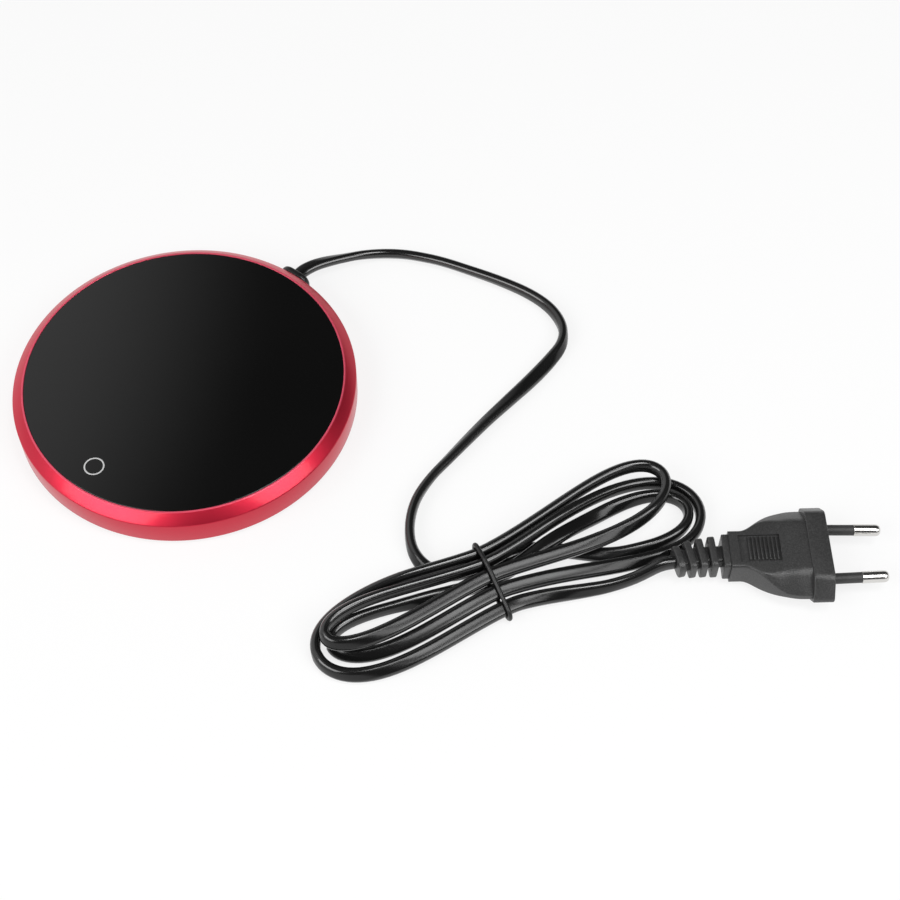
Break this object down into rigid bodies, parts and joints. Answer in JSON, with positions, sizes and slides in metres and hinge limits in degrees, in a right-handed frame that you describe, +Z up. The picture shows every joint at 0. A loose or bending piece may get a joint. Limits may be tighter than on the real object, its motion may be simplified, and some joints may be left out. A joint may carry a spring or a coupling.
{
  "type": "mug warming pad",
  "caption": "Round mug-warming pad: black glass plate in a red metal rim, heater and touch control inside, flat mains cord tied in a hank, moulded mains plug.",
  "frame": {"origin": "centre of the pad at the bottom of its feet", "axes": "+Z up, +Y towards the side where the cord leaves, -Y towards the touch ring"},
  "size_m": [0.2975, 0.1696, 0.0137],
  "materials": {
    "red_metal": "satin, dyed red",
    "black_glass": "gloss, printed black behind",
    "grey_print": "matte print",
    "seal": "matte",
    "bare_aluminium": "satin",
    "mica": "satin",
    "felt": "matte",
    "steel_plate": "brushed",
    "dark_case": "matte",
    "sensor_bead": "gloss",
    "board": "satin",
    "capacitor_case": "satin",
    "spring_metal": "bright",
    "lamp": "gloss",
    "screw_steel": "bright",
    "fibre_sleeve": "matte",
    "base_plastic": "matte",
    "foot_rubber": "matte",
    "gland_plastic": "satin",
    "cord_sheath": "gloss",
    "core_sheath": "gloss",
    "tie_plastic": "satin",
    "plug_moulding": "matte",
    "plug_hard": "matte",
    "pin_nickel": "bright",
    "sleeve_plastic": "satin"
  },
  "bodies": {
    "root": {"rim_ring": "red_metal", "glass_plate": "black_glass", "touch_mark": "grey_print", "glass_seal": "seal", "heat_spreader": "bare_aluminium", "heater_disc": "mica", "insulation_pad": "felt", "pressure_plate": "steel_plate", "thermal_cutout": "dark_case", "temperature_sensor": "sensor_bead", "control_board": "board", "film_capacitor": "capacitor_case", "heater_switch": "dark_case", "touch_chip": "dark_case", "touch_spring": "spring_metal", "status_led": "lamp", "board_screws": "screw_steel", "heater_leads": "fibre_sleeve", "base_cover": "base_plastic", "base_screws": "screw_steel", "rubber_feet": "foot_rubber", "cord_gland": "gland_plastic", "cord_clamp": "base_plastic", "clamp_screws": "screw_steel", "cord_stub": "cord_sheath", "mains_cores": "core_sheath", "cord_lead": "cord_sheath", "cord_hank": "cord_sheath", "cord_tail": "cord_sheath", "cord_tie": "tie_plastic", "plug_body": "plug_moulding", "plug_bridge": "plug_hard", "plug_pins": "pin_nickel", "pin_sleeves": "sleeve_plastic"}
  },
  "joints": []
}
